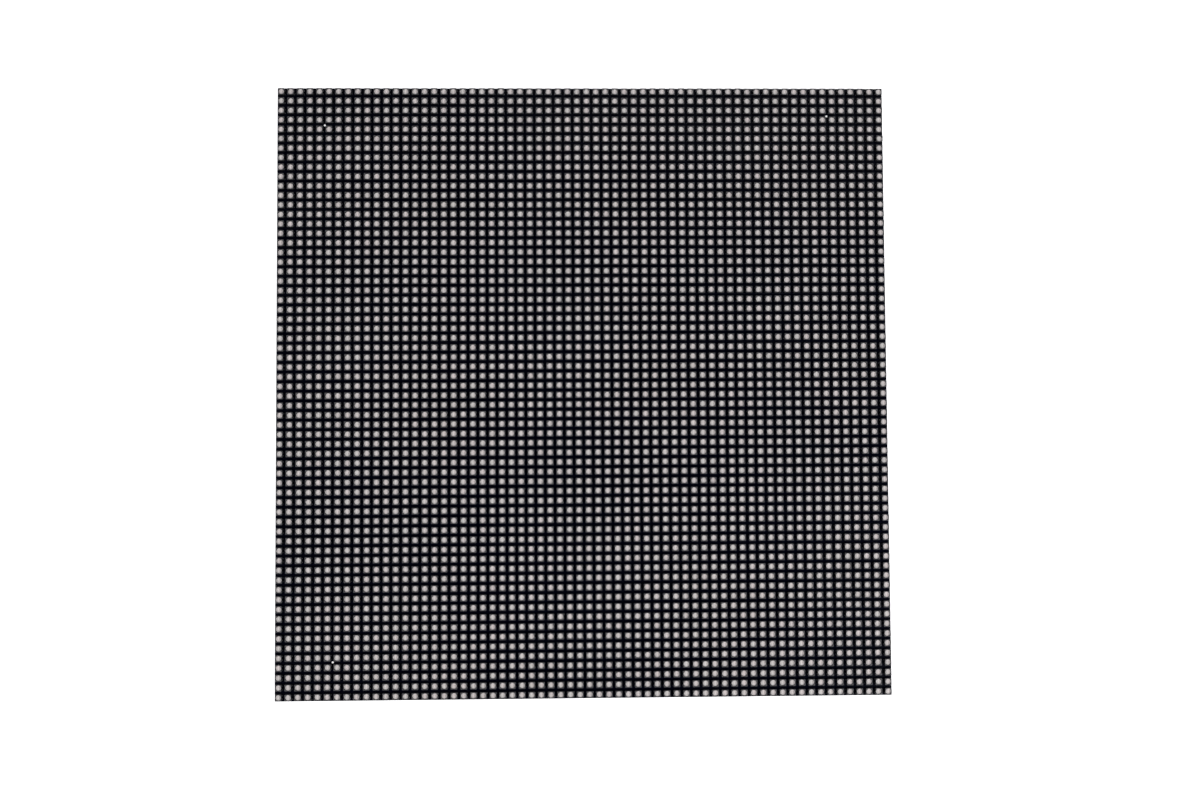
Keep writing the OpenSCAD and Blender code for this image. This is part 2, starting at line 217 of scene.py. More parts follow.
def makeLedWindow():
    material = newMaterial("ledWindow", window["color"], 0.42, specular=0.3)
    tree = material.node_tree
    tint = addNode(tree, "ShaderNodeAttribute", attribute_name="ledTint").outputs["Fac"]
    shade = addNode(tree, "ShaderNodeAttribute", attribute_name="ledShade").outputs["Fac"]
    color = mixColors(tree, tint, window["warm"], window["cool"])
    # the contact pads and the three chips on them show faintly through the filling
    place = addNode(tree, "ShaderNodeUVMap", uv_map="ledFace").outputs[0]
    side = mathOf(tree, "ABSOLUTE", addNode(tree, "ShaderNodeSeparateXYZ", {0: place}).outputs[0])
    inner, outer = window["padFade"]
    pads = addNode(tree, "ShaderNodeMapRange",
                   {"Value": side, "From Min": inner, "From Max": outer,
                    "To Max": window["padStrength"]}).outputs[0]
    color = mixColors(tree, pads, color, window["padColor"])
    full, none = window["chipFade"]
    spots = None
    for x, y, size, strength in window["chips"]:
        offset = addNode(tree, "ShaderNodeVectorMath", {0: place, 1: (x, y, 0)}, operation="DISTANCE")
        spot = addNode(tree, "ShaderNodeMapRange",
                       {"Value": offset.outputs["Value"], "From Min": size * full, "From Max": size * none,
                        "To Min": strength, "To Max": 0.0}).outputs[0]
        spots = spot if spots is None else mathOf(tree, "MAXIMUM", spots, spot)
    color = mixColors(tree, spots, color, window["chipColor"])
    bright = addNode(tree, "ShaderNodeVectorMath", {0: color, "Scale": shade}, operation="SCALE")
    tree.links.new(bright.outputs[0], shaderOf(material).inputs["Base Color"])
    grain(material, window["grainSize"] * mm, window["grainDepth"] * mm)
    return material


def makeSolder():
    material = newMaterial("solder", (0.70, 0.70, 0.68), 0.32, metallic=1.0)
    mottle(material, (0.58, 0.58, 0.57), (0.78, 0.78, 0.76), 0.4 * mm)
    grain(material, 0.15 * mm, 0.01 * mm)
    unevenGloss(material, 0.22, 0.45, 0.5 * mm)
    return material


# Black solder mask on both faces, with the glass and resin laminate bare at the edges
board = {
    # the front's mask is painted far darker and bluer than the rear's: painted shade and a painted bluish
    # sheen in the gaps between the LEDs
    "frontPaintedShade": (0.0010, 0.0012, 0.0055),
    "frontTrackPaintedShade": (0.0014, 0.0018, 0.0075),
    "rear": (0.007, 0.008, 0.009),
    "rearTrack": (0.018, 0.020, 0.020),
    "roughness": 0.13,
    "specular": 0.06,
    "rearRoughness": 0.33,
    "laminate": [(0.030, 0.026, 0.018), (0.060, 0.050, 0.032)],
    "fibreStep": 1.2,  # lengths in mm
    "trackField": 9,
    "trackWidth": 0.014,  # this and the next two are shares of the field
    "trackLength": 2.7,
    "trackStep": 0.13,
    "trackHeight": 0.02,
    "rearHeight": 0.03,
    "viaStep": 5.2,
    "viaRadius": 0.38,
    "viaRim": 1.2,  # in via radii, as is the hole
    "viaHole": 0.4,
}


def makeBoard():
    material = newMaterial("solderMask", board["frontPaintedShade"], board["roughness"], specular=board["specular"])
    tree = material.node_tree
    place = placeOf(tree)
    facing = facingOf(tree)
    faceOn = mathOf(tree, "GREATER_THAN", mathOf(tree, "ABSOLUTE", facing), 0.5)
    fibres = addNode(tree, "ShaderNodeTexWave",
                     {"Vector": place, "Scale": 1 / (board["fibreStep"] * mm), "Distortion": 6.0,
                      "Detail": 3.0},
                     bands_direction="Z")
    laminate = mixColors(tree, fibres.outputs["Fac"], *board["laminate"])
    # tracks lie under the mask as slightly raised, slightly paler lines
    tracks = addNode(tree, "ShaderNodeTexBrick",
                     {"Vector": place, "Scale": 1 / (board["trackField"] * mm),
                      "Mortar Size": board["trackWidth"], "Mortar Smooth": 0.2,
                      "Brick Width": board["trackLength"], "Row Height": board["trackStep"]})
    raised = tracks.outputs["Fac"]
    # the front's darker, bluer mask is painted shade and sheen
    mask = mixColors(tree, raised, board["frontPaintedShade"], board["frontTrackPaintedShade"])
    color = mixColors(tree, faceOn, laminate, mask)
    tree.links.new(color, shaderOf(material).inputs["Base Color"])
    bump = addNode(tree, "ShaderNodeBump",
                   {"Height": raised, "Distance": board["trackHeight"] * mm, "Strength": 0.6})
    tree.links.new(bump.outputs[0], shaderOf(material).inputs["Normal"])
    # the rear face is glossier, with rings where tracks pass through the board
    spread = addNode(tree, "ShaderNodeTexVoronoi",
                     {"Vector": place, "Scale": 1 / (board["viaStep"] * mm)}, voronoi_dimensions="2D")
    away = mathOf(tree, "MULTIPLY", spread.outputs["Distance"], board["viaStep"])
    ring = addNode(tree, "ShaderNodeMapRange",
                   {"Value": away, "From Min": board["viaRadius"] * board["viaRim"],
                    "From Max": board["viaRadius"]})
    hole = mathOf(tree, "LESS_THAN", away, board["viaRadius"] * board["viaHole"])
    rearMask = mixColors(tree, raised, board["rear"], board["rearTrack"])
    rearMask = mixColors(tree, ring.outputs[0], rearMask, board["rearTrack"])
    # the via holes take the front's dark track tone, painted shade in the holes
    rearMask = mixColors(tree, hole, rearMask, board["frontTrackPaintedShade"])
    height = mathOf(tree, "MAXIMUM", raised, ring.outputs[0])
    height = mathOf(tree, "SUBTRACT", height, mathOf(tree, "MULTIPLY", hole, 2.0))
    rearBump = addNode(tree, "ShaderNodeBump",
                       {"Height": height, "Distance": board["rearHeight"] * mm, "Strength": 1.0})
    rear = addNode(tree, "ShaderNodeBsdfPrincipled",
                   {"Base Color": rearMask, "Roughness": board["rearRoughness"],
                    "Normal": rearBump.outputs[0]})
    both = addNode(tree, "ShaderNodeMixShader",
                   {0: mathOf(tree, "LESS_THAN", facing, -0.5), 1: shaderOf(material).outputs[0],
                    2: rear.outputs[0]})
    tree.links.new(both.outputs[0], outputOf(tree).inputs["Surface"])
    return material


def makeFramePlastic():
    material = newMaterial("framePlastic", (0.022, 0.022, 0.024), 0.5)
    mottle(material, (0.018, 0.018, 0.020), (0.027, 0.027, 0.029), 6 * mm)
    grain(material, 0.25 * mm, 0.02 * mm, detail=4.0, softEdge=0.3 * mm)
    unevenGloss(material, 0.42, 0.58, 9 * mm)
    return material


# Turned or drawn metal, with fine lines
def makeMetal(name, dark, light, roughness, stretch=(1, 1, 1)):
    material = newMaterial(name, light, roughness, metallic=1.0)
    mottle(material, dark, light, 1.5 * mm)
    grain(material, 0.12 * mm, 0.006 * mm, stretch=stretch)
    unevenGloss(material, roughness * 0.8, roughness * 1.25, 1.5 * mm)
    return material


# Threaded bores are plain in the model, so their threads are ridges at the thread's step
def makeThreaded(name, dark, light, roughness, step):
    material = makeMetal(name, dark, light, roughness)
    tree = material.node_tree
    onWall = mathOf(tree, "LESS_THAN", mathOf(tree, "ABSOLUTE", facingOf(tree)), 0.5)
    height = addNode(tree, "ShaderNodeSeparateXYZ", {0: placeOf(tree)}).outputs[2]
    ridges = mathOf(tree, "MULTIPLY", mathOf(tree, "PINGPONG", height, step / 2), onWall)
    bump = addNode(tree, "ShaderNodeBump", {"Height": ridges, "Distance": 1.0, "Strength": 1.0})
    tree.links.new(bump.outputs[0], shaderOf(material).inputs["Normal"])
    return material


def makePlastic(name, dark, light, roughness, size=0.25):
    material = newMaterial(name, light, roughness)
    mottle(material, dark, light, 2 * mm)
    grain(material, size * mm, 0.008 * mm, detail=3.0, softEdge=0.1 * mm)
    unevenGloss(material, roughness * 0.9, roughness * 1.15, 3 * mm)
    return material


# Bare tinned mark, white with a faint glow: a painted glint in place of the light it catches between the
# packages
def makeMarkPaintedGlint():
    material = makePlastic("bareMarkPaintedGlint", (0.90, 0.90, 0.88), (0.96, 0.96, 0.95), 0.35)
    shaderOf(material).inputs["Emission Color"].default_value = (1.0, 1.0, 0.98, 1)
    shaderOf(material).inputs["Emission Strength"].default_value = 0.5
    return material


ledFace = makeLedFace()
ledSidePaintedShade = makeLedSidePaintedShade()
ledWindow = makeLedWindow()
solder = makeSolder()
solderMask = makeBoard()
framePlastic = makeFramePlastic()
leadTin = makeMetal("leadTin", (0.58, 0.58, 0.57), (0.74, 0.74, 0.72), 0.34)
printInk = makePlastic("printInk", (0.62, 0.62, 0.60), (0.72, 0.72, 0.70), 0.6)
print("first materials made")


# Meshes from plain lists
class Shape:
    def __init__(self):
        self.points = []
        self.faces = []
        self.parts = []  # material number of each face

    def add(self, points, faces, part=0):
        start = len(self.points)
        self.points.extend(points)
        self.cover(start, faces, part)

    def cover(self, start, faces, part=0):
        self.faces.extend([tuple(start + i for i in face) for face in faces])
        self.parts.extend([part] * len(faces))

    def box(self, low, high, part=0):
        x, y, z = zip(low, high)
        corners = [(x[i], y[j], z[k]) for k in (0, 1) for j in (0, 1) for i in (0, 1)]
        faces = [(0, 2, 3, 1), (4, 5, 7, 6), (0, 1, 5, 4), (2, 6, 7, 3), (0, 4, 6, 2), (1, 3, 7, 5)]
        self.add(corners, faces, part)

    def build(self, name, materials, slot=None, smooth=None):
        mesh = bpy.data.meshes.new(name)
        mesh.from_pydata([(x * mm, y * mm, z * mm) for x, y, z in self.points], [], self.faces)
        for material in materials:
            mesh.materials.append(material)
        mesh.polygons.foreach_set("material_index", self.parts)
        if smooth is not None:
            mesh.polygons.foreach_set("use_smooth", [True] * len(mesh.polygons))
            mesh.set_sharp_from_angle(angle=math.radians(smooth))
        mesh.update()
        obj = bpy.data.objects.new(name, mesh)
        bpy.context.scene.collection.objects.link(obj)
        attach(obj, "root")
        return obj


def boxOf(name):
    return [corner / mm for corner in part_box(name)]


# Boxes of the separate solids in a node, in mm
def solidBoxes(name):
    mesh = nodes[name].data
    turn = nodes[name].matrix_world
    keys, leader = {}, []

    def top(i):
        while leader[i] != i:
            leader[i] = leader[leader[i]]
            i = leader[i]
        return i

    number = []
    for vertex in mesh.vertices:
        place = turn @ vertex.co / mm
        key = tuple(round(value, 3) for value in place)
        if key not in keys:
            keys[key] = len(leader)
            leader.append(len(leader))
        number.append(keys[key])
    for polygon in mesh.polygons:
        ends = [top(number[i]) for i in polygon.vertices]
        for end in ends[1:]:
            leader[top(end)] = top(ends[0])
    groups = {}
    for key, index in keys.items():
        groups.setdefault(top(index), []).append(key)
    boxes = [(Vector(map(min, zip(*points))), Vector(map(max, zip(*points)))) for points in groups.values()]
    return sorted(boxes, key=lambda box: (round(box[0].x, 1), round(box[0].y, 1)))


# LED packages: square black bodies round a recessed pale window
led = {
    "count": 64,  # along each side of the field
    "segments": 18,
    "draft": 0.05,  # lean of each side
    "edge": 0.03,  # chamfer at the top edges
    "corner": 0.10,
    "recessTop": 0.925,  # radius of the recess at the face
    "windowRadius": 0.84,
    "windowDepth": 0.54,
    "dish": 0.04,
    "rimDish": 0.22,
    "footWidth": 0.45,
    "footOut": 0.05,
    "footTop": 0.015,  # reach at the top of a foot
    "footHeight": 0.25,
    "footPlace": 0.55,
    "footTuck": 0.02,
    "shift": 0.018,  # placing errors
    "turn": 0.7,
    "turnLimit": 2,
    "seed": 2121,
}


def squareRing(half, cut, z):
    a, b = half, half - cut
    return [(a, -b, z), (a, b, z), (b, a, z), (-b, a, z), (-a, b, z), (-a, -b, z), (-b, -a, z), (b, -a, z)]


def roundRing(radius, z, count):
    return [(radius * math.cos(2 * math.pi * i / count), radius * math.sin(2 * math.pi * i / count), z)
            for i in range(count)]


def bridge(first, second, count):
    return [(first + i, first + (i + 1) % count, second + (i + 1) % count, second + i) for i in range(count)]


# Flat face between the eight-sided outline and the round recess
def faceRound(outline, opening, outlineStart, openingStart):
    def apart(p, q):
        return math.hypot(p[0] - q[0], p[1] - q[1])

    m, n = len(outline), len(opening)
    first = min(range(n), key=lambda k: apart(opening[k], outline[0]))
    faces, i, j = [], 0, 0
    while i < m or j < n:
        a, b = i % m, (first + j) % n
        nextA, nextB = (i + 1) % m, (first + j + 1) % n
        if j >= n or (i < m and apart(outline[nextA], opening[b]) < apart(outline[a], opening[nextB])):
            faces.append((outlineStart + a, outlineStart + nextA, openingStart + b))
            i += 1
        else:
            faces.append((outlineStart + a, openingStart + nextB, openingStart + b))
            j += 1
    return faces


def ledTemplate(width, height):
    half, n = width / 2, led["segments"]
    shape = Shape()
    outline = squareRing(half, led["corner"], 0)
    shoulder = squareRing(half - led["draft"], led["corner"], height - led["edge"])
    top = squareRing(half - led["draft"] - led["edge"], led["corner"], height)
    floor = height - led["windowDepth"]
    rings = [
        roundRing(led["recessTop"], height, n),
        roundRing(led["windowRadius"], floor, n),
        roundRing(led["windowRadius"] - led["rimDish"], floor - led["dish"], n),
    ]
    shape.add(outline + shoulder + top + rings[0] + rings[1] + rings[2], [])
    sides = [tuple(range(7, -1, -1))] + bridge(0, 8, 8)
    face = bridge(8, 16, 8)
    face += faceRound(top, rings[0], 16, 24)
    recess = bridge(24, 24 + n, n)
    fill = bridge(24 + n, 24 + 2 * n, n) + [tuple(range(24 + 2 * n, 24 + 3 * n))]
    shape.cover(0, face)
    # the sides and the recess walls take the darker plastic, painted shade
    shape.cover(0, sides + recess, 1)
    shape.cover(0, fill, 2)
    w, h = led["footWidth"], led["footHeight"]
    for sx in (-1, 1):
        xa, xb, xc = [sx * (half + reach) for reach in (-led["footTuck"], led["footOut"], led["footTop"])]
        for sy in (-1, 1):
            y0, y1 = [sy * led["footPlace"] + edge * w / 2 for edge in (-1, 1)]
            points = [(xa, y0, 0), (xa, y1, 0), (xa, y1, h), (xa, y0, h)]
            points += [(xb, y0, 0), (xb, y1, 0), (xc, y1, h), (xc, y0, h)]
            faces = [(0, 4, 7, 3), (1, 2, 6, 5), (4, 5, 6, 7), (3, 7, 6, 2), (0, 1, 5, 4), (0, 3, 2, 1)]
            shape.add(points, faces if sx > 0 else [face[::-1] for face in faces], 3)
    return shape


def makeLedBands():
    low, high = boxOf("led_rows_1")
    across, down = high.x - low.x, high.y - low.y
    count = led["count"]
    rows = count // len(ledNodes)
    pitch = (across - down) / (count - rows)
    width = down - (rows - 1) * pitch
    template = ledTemplate(width, high.z - low.z)
    rng = random.Random(led["seed"])
    for name in sorted(ledNodes):
        bandLow = boxOf(name)[0]
        shape, tints, shades, places = Shape(), [], [], []
        for row in range(rows):
            for column in range(count):
                x = bandLow.x + width / 2 + column * pitch + rng.gauss(0, led["shift"])
                y = bandLow.y + width / 2 + row * pitch + rng.gauss(0, led["shift"])
                turn = max(-led["turnLimit"], min(led["turnLimit"], rng.gauss(0, led["turn"])))
                angle = math.radians(turn)
                c, s = math.cos(angle), math.sin(angle)
                base = len(shape.points)
                shape.points.extend([(x + px * c - py * s, y + px * s + py * c, bandLow.z + pz)
                                     for px, py, pz in template.points])
                shape.faces.extend([tuple(base + i for i in face) for face in template.faces])
                shape.parts.extend(template.parts)
                tint = 0.5 + rng.gauss(0, window["tintSpread"])
                shade = 1 + rng.gauss(0, window["shadeSpread"])
                tints.extend([min(1, max(0, tint))] * len(template.points))
                shades.extend([shade] * len(template.points))
                places.extend([(px, py) for px, py, pz in template.points])
        materials = [ledFace, ledSidePaintedShade, ledWindow, solder]
        piece = shape.build("ledPackages_" + name[-1], materials, "led_package", smooth=35)
        mesh = piece.data
        for label, values in (("ledTint", tints), ("ledShade", shades)):
            mesh.attributes.new(label, "FLOAT", "POINT").data.foreach_set("value", values)
        uv = mesh.uv_layers.new(name="ledFace")
        corners = [0] * len(mesh.loops)
        mesh.loops.foreach_get("vertex_index", corners)
        uv.data.foreach_set("uv", [value for i in corners for value in places[i]])
        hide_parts(name)
    print("LED packages made, pitch", round(pitch, 3), "width", round(width, 3))


makeLedBands()


# Gull-wing leads of the chips, on tinned pads
leads = {
    "rows": {  # leads on each side, their pitch and width
        "driver_chips_red": (12, 0.635, 0.24),
        "driver_chips_green": (12, 0.635, 0.24),
        "driver_chips_blue": (12, 0.635, 0.24),
        "row_driver_chips": (8, 1.27, 0.42),
        "buffer_chips": (10, 0.65, 0.24),
    },
    "path": [(-0.12, 0.66), (0.14, 0.66), (0.30, 0.56), (0.40, 0.22), (0.54, 0.10), (0.98, 0.10)],
    "thickness": 0.14,
    "padLength": 1.25,
    "padStart": 0.22,
    "padHeight": 0.03,
    "padMargin": 0.05,
    "toe": 0.30,  # reach of the solder past a lead's end
    "toeHeight": (0.12, 0.18),
    "shift": 0.006,
    "seed": 77,
}


def sweepLead(shape, x, y, out, z, width):
    path, half = leads["path"], leads["thickness"] / 2
    points = []
    for i, (a, h) in enumerate(path):
        before, after = path[max(i - 1, 0)], path[min(i + 1, len(path) - 1)]
        da, dh = after[0] - before[0], after[1] - before[1]
        size = math.hypot(da, dh)
        na, nh = -dh / size * half, da / size * half
        for side in (-1, 1):
            for edge in (-1, 1):
                points.append((x + edge * width / 2, y + out * (a + side * na), z - (h + side * nh)))
    faces = []
    for i in range(len(path) - 1):
        a, b = 4 * i, 4 * i + 4
        faces += [(a, a + 1, b + 1, b), (a + 2, b + 2, b + 3, a + 3)]
        faces += [(a, b, b + 2, a + 2), (a + 1, a + 3, b + 3, b + 1)]
    end = 4 * len(path) - 4
    faces += [(0, 2, 3, 1), (end, end + 1, end + 3, end + 2)]
    shape.add(points, faces if out > 0 else [face[::-1] for face in faces])


# Solder that stands full height at y0 and runs out to nothing at y1
def solderWedge(shape, x0, x1, y0, y1, z, height, part=1):
    bend, step = y0 + (y1 - y0) * 0.4, z - height * 0.35
    points = [(x0, y0, z), (x1, y0, z), (x1, y1, z), (x0, y1, z)]
    points += [(x0, y0, z - height), (x1, y0, z - height), (x1, bend, step), (x0, bend, step)]
    faces = [(0, 1, 2, 3), (4, 7, 6, 5), (7, 3, 2, 6), (0, 4, 5, 1), (0, 3, 7, 4), (1, 5, 6, 2)]
    shape.add(points, faces if y1 > y0 else [face[::-1] for face in faces], part)


def makeLeads():
    rng = random.Random(leads["seed"])
    for name, (count, pitch, width) in leads["rows"].items():
        shape = Shape()
        for low, high in solidBoxes(name):
            middle, z = (low.x + high.x) / 2, high.z
            for out, edge in ((-1, low.y), (1, high.y)):
                for k in range(count):
                    x = middle + (k - (count - 1) / 2) * pitch
                    sweepLead(shape, x + rng.gauss(0, leads["shift"]), edge, out, z, width)
                    pad = width / 2 + leads["padMargin"]
                    near = edge + out * leads["padStart"]
                    far = near + out * leads["padLength"]
                    top = z - leads["padHeight"]
                    shape.box((x - pad, min(near, far), top), (x + pad, max(near, far), z), 1)
                    toe = edge + out * leads["path"][-1][0]
                    tall = rng.uniform(*leads["toeHeight"])
                    solderWedge(shape, x - width / 2, x + width / 2, toe - out * leads["padMargin"],
                                toe + out * leads["toe"], z, tall)
        shape.build(name.replace("chips", "leads"), [leadTin, solder], "pin_tin", smooth=40)
    print("chip leads made")


# Metal ends of the small parts, and the solder that holds them
ends = {
    "cap": 0.28,  # length of a metal end
    "skin": 0.015,
    "fillet": 0.38,  # reach of the solder
    "filletHeight": (0.55, 0.75),  # share of the part's height
    "filletInset": 0.04,
    "margin": 0.06,  # pad past the part's side
    "padPast": 0.08,  # pad past the solder
    "padHeight": 0.03,
    "networkCount": 4,
    "networkPitch": 0.8,
    "networkWidth": 0.42,
    "networkCap": 0.25,
    "networkPad": (0.40, 0.12),  # reach and height
    "seed": 31,
}


def makeEnds():
    rng = random.Random(ends["seed"])
    shape = Shape()
    skin, margin, inset = ends["skin"], ends["margin"], ends["filletInset"]
    for name in ("ceramic_capacitors", "resistors"):
        for low, high in solidBoxes(name):
            for out, edge in ((-1, low.y), (1, high.y)):
                inner, outer = edge - out * ends["cap"], edge + out * skin
                a, b = min(inner, outer), max(inner, outer)
                shape.box((low.x - skin, a, low.z - skin), (high.x + skin, b, high.z))
                tall = (high.z - low.z) * rng.uniform(*ends["filletHeight"])
                toe = edge + out * ends["fillet"]
                solderWedge(shape, low.x + inset, high.x - inset, edge, toe, high.z, tall)
                far = toe + out * ends["padPast"]
                a, b, top = min(inner, far), max(inner, far), high.z - ends["padHeight"]
                shape.box((low.x - margin, a, top), (high.x + margin, b, high.z), 1)
    count = ends["networkCount"]
    for low, high in solidBoxes("resistor_networks"):
        middle = (low.y + high.y) / 2
        for out, edge in ((-1, low.x), (1, high.x)):
            for k in range(count):
                y = middle + (k - (count - 1) / 2) * ends["networkPitch"]
                half = ends["networkWidth"] / 2
                inner, outer = edge - out * ends["networkCap"], edge + out * skin
                a, b = min(inner, outer), max(inner, outer)
                shape.box((a, y - half, low.z - skin), (b, y + half, high.z))
                reach, tall = ends["networkPad"]
                a, b = min(inner, edge + out * reach), max(inner, edge + out * reach)
                shape.box((a, y - half, high.z - tall), (b, y + half, high.z), 1)
    shape.build("chip_part_ends", [leadTin, solder], "pin_tin")
    print("ends of the small parts made")


# Pads and solder round the feet of the headers and the can bases
pads = {
    "height": 0.03,
    "margin": 0.14,
    "toe": 0.45,
    "heel": 1.3,  # length under the foot
    "solder": 0.34,  # height at a foot's end
    "solderGap": 0.05,  # between the solder's end and the pad's
    "canTab": (0.65, 1.1, 0.12),  # half width, reach and height of a can's terminal
    "canTuck": 0.4,
    "canMargin": 0.3,
}


def makePads():
    shape = Shape()
    rise, margin, toe, gap = pads["height"], pads["margin"], pads["toe"], pads["solderGap"]
    for name, along in (("data_in_pins", 0), ("data_out_pins", 0), ("power_pins_set", 1)):
        low, high = boxOf(name)
        middle = (low + high) / 2
        for a, b in solidBoxes(name):
            center = (a + b) / 2
            out = -1 if center[along] < middle[along] or along == 1 else 1
            tip = a[along] if out < 0 else b[along]
            other = 1 - along
            near = tip - out * pads["heel"]
            far = tip + out * toe
            boxLow, boxHigh = [0, 0, b.z - rise], [0, 0, b.z]
            boxLow[along], boxHigh[along] = min(near, far), max(near, far)
            boxLow[other], boxHigh[other] = a[other] - margin, b[other] + margin
            shape.box(tuple(boxLow), tuple(boxHigh))
            if along == 1:
                solderWedge(shape, a.x, b.x, tip, far - out * gap, b.z, pads["solder"], 0)
            else:
                turned = Shape()
                solderWedge(turned, a.y, b.y, tip, far - out * gap, b.z, pads["solder"], 0)
                shape.add([(y, x, z) for x, y, z in turned.points], [face[::-1] for face in turned.faces])
    half, reach, tall = pads["canTab"]
    wide = half + pads["canMargin"]
    for low, high in solidBoxes("capacitor_bases"):
        x = (low.x + high.x) / 2
        for out, edge in ((-1, low.y), (1, high.y)):
            inner, outer = edge - out * pads["canTuck"], edge + out * reach
            shape.box((x - half, min(inner, outer), high.z - tall), (x + half, max(inner, outer), high.z))
            far = outer + out * pads["canMargin"]
            shape.box((x - wide, min(inner, far), high.z - rise), (x + wide, max(inner, far), high.z))
    shape.build("solder_pads", [solder], "pin_tin")
    print("pads made")


# White lines printed on the rear of the board: outlines, first-pin dots, plus signs and two arrows
printing = {
    "width": 0.15,
    "height": 0.012,
    "dot": 0.28,
    "dotSides": 12,
    "chipGap": 0.35,  # from a chip's end to its line
    "chipPast": 0.1,
    "hook": 0.20,
    "dotGap": 0.75,
    "headerGap": 0.5,
    "headerHook": 3.5,
    "plus": 1.0,
    "plusPlace": (1.7, 1.9),  # from the top middle of a can's base
    "canGap": 0.4,
    "arrow": 7.0,
    "arrowHead": (1.6, 1.1),
    "arrowGap": 10.01,  # from a data header to its arrow
}


def line(shape, a, b, z):
    dx, dy = b[0] - a[0], b[1] - a[1]
    size, width = math.hypot(dx, dy), printing["width"]
    ux, uy = dx / size * width / 2, dy / size * width / 2
    corners = [(a[0] - ux - uy, a[1] - uy + ux), (a[0] - ux + uy, a[1] - uy - ux),
               (b[0] + ux + uy, b[1] + uy - ux), (b[0] + ux - uy, b[1] + uy + ux)]
    low = z - printing["height"]
    points = [(x, y, low) for x, y in corners] + [(x, y, z) for x, y in corners]
    faces = [(0, 3, 2, 1), (0, 1, 5, 4), (1, 2, 6, 5), (2, 3, 7, 6), (3, 0, 4, 7)]
    shape.add(points, [face[::-1] for face in faces])


def lines(shape, points, z):
    for a, b in zip(points, points[1:]):
        line(shape, a, b, z)


def dot(shape, x, y, z):
    count = printing["dotSides"]
    points = [(x + a, y + b, level) for level in (z - printing["height"], z)
              for a, b, _ in roundRing(printing["dot"], 0, count)]
    shape.add(points, [tuple(range(count - 1, -1, -1))] + bridge(0, count, count))


def makePrinting():
    shape = Shape()
    z = boxOf("circuit_board")[0].z
    gap, hook = printing["chipGap"], printing["hook"]
    for name in leads["rows"]:
        for low, high in solidBoxes(name):
            for x, out in ((low.x - gap, 1), (high.x + gap, -1)):
                a, b = low.y - printing["chipPast"], high.y + printing["chipPast"]
                lines(shape, [(x + out * hook, a), (x, a), (x, b), (x + out * hook, b)], z)
            dot(shape, low.x - printing["dotGap"], low.y - printing["dotGap"], z)
    gap = printing["headerGap"]
    for name in ("data_in_shell", "data_out_shell"):
        low, high = boxOf(name)
        left, right = low.x - gap, high.x + gap
        for y, out in ((low.y - gap, 1), (high.y + gap, -1)):
            back = y + out * printing["headerHook"]
            lines(shape, [(left, back), (left, y), (right, y), (right, back)], z)
    low, high = boxOf("power_shell")
    left, right, top, bottom = low.x - gap, high.x + gap, high.y + gap, low.y - gap
    lines(shape, [(left, bottom), (left, top), (right, top), (right, bottom)], z)
    for low, high in solidBoxes("capacitor_bases"):
        for edge in (low.x - printing["canGap"], high.x + printing["canGap"]):
            lines(shape, [(edge, low.y), (edge, high.y)], z)
        aside, above = printing["plusPlace"]
        x, y, reach = (low.x + high.x) / 2 - aside, high.y + above, printing["plus"] / 2
        lines(shape, [(x - reach, y), (x + reach, y)], z)
        lines(shape, [(x, y - reach), (x, y + reach)], z)
    back, half = printing["arrowHead"]
    for name in ("data_in_shell", "data_out_shell"):
        low, high = boxOf(name)
        x, y = (low.x + high.x) / 2, high.y + printing["arrowGap"]
        start, tip = x - printing["arrow"] / 2, x + printing["arrow"] / 2
        lines(shape, [(start, y), (tip, y)], z)
        lines(shape, [(tip - back, y - half), (tip, y), (tip - back, y + half)], z)
    shape.build("board_printing", [printInk], "solder_mask")
    print("printing made")


makeLeads()
makeEnds()
makePads()
makePrinting()


# Drawn aluminium can: a black crescent on the end marks one terminal
canMark = {
    "start": 0.54,  # share of the can's radius, from its middle outwards
    "color": (0.02, 0.02, 0.022),
}


def makeCan():
    material = makeMetal("canAluminium", (0.62, 0.63, 0.65), (0.76, 0.77, 0.79), 0.3, (1, 1, 0.1))
    tree = material.node_tree
    low, high = solidBoxes("capacitor_cans")[-1]
    start = (low.x + high.x) / 2 + canMark["start"] * (high.x - low.x) / 2
    side = addNode(tree, "ShaderNodeSeparateXYZ", {0: placeOf(tree)}).outputs[0]
    onEnd = mathOf(tree, "LESS_THAN", facingOf(tree), -0.99)
    outward = mathOf(tree, "GREATER_THAN", mathOf(tree, "ABSOLUTE", side), start * mm)
    marked = mathOf(tree, "MULTIPLY", onEnd, outward)
    ink = addNode(tree, "ShaderNodeBsdfPrincipled",
                  {"Base Color": (*canMark["color"], 1), "Roughness": 0.5})
    both = addNode(tree, "ShaderNodeMixShader",
                   {0: marked, 1: shaderOf(material).outputs[0], 2: ink.outputs[0]})
    tree.links.new(both.outputs[0], outputOf(tree).inputs["Surface"])
    return material


